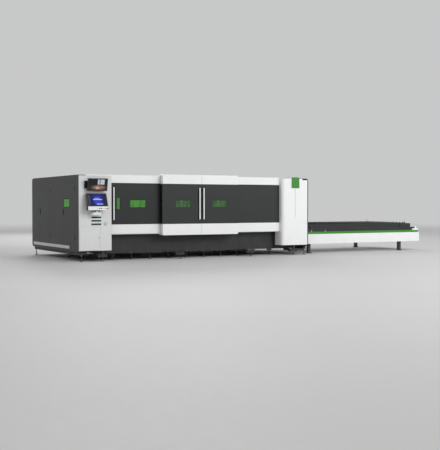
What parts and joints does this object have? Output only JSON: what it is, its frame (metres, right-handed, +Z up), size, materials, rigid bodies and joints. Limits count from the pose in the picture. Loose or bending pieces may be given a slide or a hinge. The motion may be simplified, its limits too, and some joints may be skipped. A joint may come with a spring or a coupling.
{
  "type": "laser cutting machine with exchange table",
  "caption": "Enclosed flatbed laser cutter for sheet metal with sliding front doors, a control column with tilting screens, and a shuttle table with toothed slat pallets.",
  "frame": {"origin": "centre of the bounding box at floor level", "axes": "+X along the machine from the control column to the exchange table, +Y from the operator's side to the back, +Z up"},
  "size_m": [11.758, 4.367, 2.28],
  "materials": {
    "wall_grey": "fine textured dark grey powder coat",
    "dark_panel": "satin dark grey powder coat",
    "band_white": "satin white powder coat",
    "column_white": "satin pale grey powder coat",
    "badge_green": "satin green powder coat",
    "skirt_grey": "satin dark grey powder coat",
    "frame_grey": "semi-gloss machine grey",
    "guard_glass": "green laser guard pane",
    "handle_metal": "satin anodised",
    "rail_steel": "ground steel",
    "slat_steel": "mill scale with bright tips",
    "black_plastic": "fine texture",
    "screen_housing": "satin dark grey",
    "red_plastic": "gloss",
    "gantry_paint": "satin pale grey",
    "head_metal": "satin anodised",
    "zinc_plate": "zinc plated"
  },
  "bodies": {
    "machine": {"bed_frame": "frame_grey", "levelling_feet": "zinc_plate", "base_frame": "frame_grey", "left_end_wall": "wall_grey", "left_kick_strip": "band_white", "right_end_wall": "wall_grey", "upper_beam": "band_white", "lower_beam": "band_white", "control_column": "column_white", "control_plate": "zinc_plate", "vent_louvres": "badge_green", "screen_brackets": "screen_housing", "right_column": "column_white", "column_cap": "badge_green", "fixed_front_panel": "dark_panel", "front_skirt": "skirt_grey", "rear_wall": "wall_grey", "roof_panels": "wall_grey", "laser_source": "column_white", "gantry_rails": "rail_steel", "table_frame": "frame_grey", "table_side_panels": "band_white", "table_strips": "badge_green", "exchange_chains": "rail_steel"},
    "wall_door_front": {"wall_door_front": "wall_grey", "wall_door_window": "guard_glass"},
    "wall_door_rear": {"wall_door_rear": "wall_grey"},
    "cabinet_door": {"cabinet_door": "column_white"},
    "cabinet_lock": {"cabinet_lock": "zinc_plate"},
    "main_switch": {"main_switch": "head_metal"},
    "upper_monitor": {"upper_monitor": "screen_housing"},
    "console": {"console": "screen_housing"},
    "start_button": {"start_button": "black_plastic"},
    "pause_button": {"pause_button": "black_plastic"},
    "emergency_stop": {"emergency_stop": "red_plastic"},
    "left_door": {"left_door": "dark_panel", "left_door_handle": "handle_metal", "left_door_windows": "guard_glass"},
    "middle_left": {"middle_left_leaf": "dark_panel", "middle_left_handle": "handle_metal", "middle_left_window": "guard_glass"},
    "middle_right": {"middle_right_leaf": "dark_panel", "middle_right_handle": "handle_metal", "middle_right_window": "guard_glass"},
    "rear_door_left": {"rear_door_left": "wall_grey"},
    "rear_door_right": {"rear_door_right": "wall_grey"},
    "gantry": {"gantry_beam": "gantry_paint", "gantry_drives": "black_plastic"},
    "head_carriage": {"head_carriage": "gantry_paint"},
    "z_axis": {"z_slide": "gantry_paint", "cutting_head": "head_metal"},
    "outer_pallet": {"outer_pallet_frame": "frame_grey", "outer_pallet_slats": "slat_steel"},
    "outer_left_wheels": {"outer_left_wheels": "rail_steel"},
    "outer_right_wheels": {"outer_right_wheels": "rail_steel"},
    "inner_pallet": {"inner_pallet_frame": "frame_grey", "inner_pallet_slats": "slat_steel"},
    "inner_left_wheels": {"inner_left_wheels": "rail_steel"},
    "inner_right_wheels": {"inner_right_wheels": "rail_steel"},
    "exchange_shaft": {"exchange_shaft": "rail_steel"}
  },
  "joints": [
    {"name": "wall_door_front_hinge", "type": "hinge", "parent": "machine", "child": "wall_door_front", "pos_m": [-5.871, -1.5735, 1.25], "axis": [0, 0, 1], "range_deg": [0, 100]},
    {"name": "wall_door_rear_hinge", "type": "hinge", "parent": "machine", "child": "wall_door_rear", "pos_m": [-5.871, 0.4365, 1.25], "axis": [0, 0, 1], "range_deg": [0, 100]},
    {"name": "cabinet_door_hinge", "type": "hinge", "parent": "machine", "child": "cabinet_door", "pos_m": [-5.86, -1.9065, 0.606], "axis": [0, 0, -1], "range_deg": [0, 110]},
    {"name": "cabinet_lock_turn", "type": "hinge", "parent": "cabinet_door", "child": "cabinet_lock", "pos_m": [-5.323, -1.9065, 0.618], "axis": [0, 1, 0], "range_deg": [0, 90]},
    {"name": "main_switch_turn", "type": "hinge", "parent": "machine", "child": "main_switch", "pos_m": [-5.153, -1.9065, 0.978], "axis": [0, 1, 0], "range_deg": [0, 90]},
    {"name": "monitor_tilt", "type": "hinge", "parent": "machine", "child": "upper_monitor", "pos_m": [-5.417, -1.9685, 1.9815], "axis": [1, 0, 0], "range_deg": [-8, 8]},
    {"name": "console_tilt", "type": "hinge", "parent": "machine", "child": "console", "pos_m": [-5.445, -2.0565, 1.3], "axis": [1, 0, 0], "range_deg": [-4, 12]},
    {"name": "start_button_press", "type": "slide", "parent": "console", "child": "start_button", "axis": [0, 1, 0], "range_m": [0, 0.004], "stiffness_N_per_m": 400, "springref_m": -0.003},
    {"name": "pause_button_press", "type": "slide", "parent": "console", "child": "pause_button", "axis": [0, 1, 0], "range_m": [0, 0.004], "stiffness_N_per_m": 400, "springref_m": -0.003},
    {"name": "emergency_stop_press", "type": "slide", "parent": "console", "child": "emergency_stop", "axis": [0, 1, 0], "range_m": [0, 0.004]},
    {"name": "left_door_slide", "type": "slide", "parent": "machine", "child": "left_door", "axis": [1, 0, 0], "range_m": [0, 1.3]},
    {"name": "middle_left_slide", "type": "slide", "parent": "machine", "child": "middle_left", "axis": [-1, 0, 0], "range_m": [0, 1.18]},
    {"name": "middle_right_slide", "type": "slide", "parent": "machine", "child": "middle_right", "axis": [1, 0, 0], "range_m": [0, 1.18]},
    {"name": "rear_door_left_hinge", "type": "hinge", "parent": "machine", "child": "rear_door_left", "pos_m": [-3.265, 2.0835, 1.18], "axis": [0, 0, 1], "range_deg": [0, 100]},
    {"name": "rear_door_right_hinge", "type": "hinge", "parent": "machine", "child": "rear_door_right", "pos_m": [-1.471, 2.0835, 1.18], "axis": [0, 0, -1], "range_deg": [0, 100]},
    {"name": "gantry_travel", "type": "slide", "parent": "machine", "child": "gantry", "axis": [1, 0, 0], "range_m": [0, 4.295]},
    {"name": "head_travel", "type": "slide", "parent": "gantry", "child": "head_carriage", "axis": [0, 1, 0], "range_m": [0, 2]},
    {"name": "z_travel", "type": "slide", "parent": "head_carriage", "child": "z_axis", "axis": [0, 0, 1], "range_m": [-0.125, 0]},
    {"name": "outer_pallet_travel", "type": "slide", "parent": "machine", "child": "outer_pallet", "axis": [-1, 0, 0], "range_m": [0, 4.8]},
    {"name": "inner_pallet_travel", "type": "slide", "parent": "machine", "child": "inner_pallet", "axis": [1, 0, 0], "range_m": [0, 4.8]},
    {"name": "outer_left_wheels_roll", "type": "hinge", "parent": "outer_pallet", "child": "outer_left_wheels", "pos_m": [1.749, -0.2465, 0.7903], "axis": [0, -1, 0], "range_deg": [0, 6112]},
    {"name": "outer_right_wheels_roll", "type": "hinge", "parent": "outer_pallet", "child": "outer_right_wheels", "pos_m": [5.299, -0.2465, 0.7903], "axis": [0, -1, 0], "range_deg": [0, 6112]},
    {"name": "inner_left_wheels_roll", "type": "hinge", "parent": "inner_pallet", "child": "inner_left_wheels", "pos_m": [-3.051, -0.2465, 0.5053], "axis": [0, 1, 0], "range_deg": [0, 6112]},
    {"name": "inner_right_wheels_roll", "type": "hinge", "parent": "inner_pallet", "child": "inner_right_wheels", "pos_m": [0.499, -0.2465, 0.5053], "axis": [0, 1, 0], "range_deg": [0, 6112]},
    {"name": "exchange_shaft_turn", "type": "hinge", "parent": "machine", "child": "exchange_shaft", "pos_m": [5.679, -0.2465, 0.69], "axis": [0, -1, 0], "range_deg": [0, 7238]}
  ],
  "couplings": [
    {"joint": "inner_pallet_travel", "follows": "outer_pallet_travel", "ratio": 1},
    {"joint": "outer_left_wheels_roll", "follows": "outer_pallet_travel", "rad_per_m": 22.222},
    {"joint": "outer_right_wheels_roll", "follows": "outer_pallet_travel", "rad_per_m": 22.222},
    {"joint": "inner_left_wheels_roll", "follows": "outer_pallet_travel", "rad_per_m": 22.222},
    {"joint": "inner_right_wheels_roll", "follows": "outer_pallet_travel", "rad_per_m": 22.222},
    {"joint": "exchange_shaft_turn", "follows": "outer_pallet_travel", "rad_per_m": 26.316}
  ]
}
